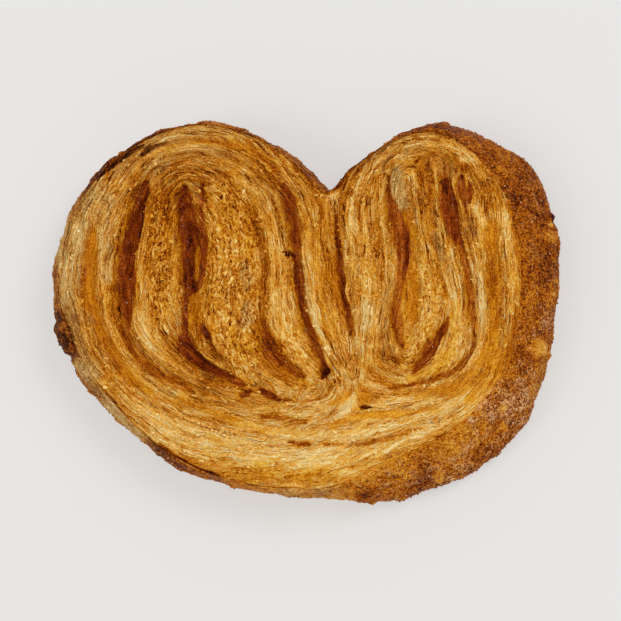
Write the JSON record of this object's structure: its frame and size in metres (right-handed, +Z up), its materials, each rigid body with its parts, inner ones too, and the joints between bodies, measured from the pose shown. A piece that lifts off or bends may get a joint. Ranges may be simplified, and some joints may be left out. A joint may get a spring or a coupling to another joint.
{
  "type": "palmier pastry",
  "caption": "Heart-shaped slice of rolled, sugared puff pastry with two coiled lobes, baked brown at its outer crust, lying flat on a cut face.",
  "frame": {"origin": "centre of the bounding box in plan, at the face that rests on the table", "axes": "+Z up out of the upper cut face, +X along the length over both lobes, +Y towards the notch between the lobes"},
  "size_m": [0.124, 0.0922, 0.02],
  "materials": {
    "baked_pastry": "golden-brown baked puff pastry: pale dry layers, dark glossy caramel in the seams, sugared brown crust"
  },
  "bodies": {
    "root": {"palmier": "baked_pastry"}
  },
  "joints": []
}
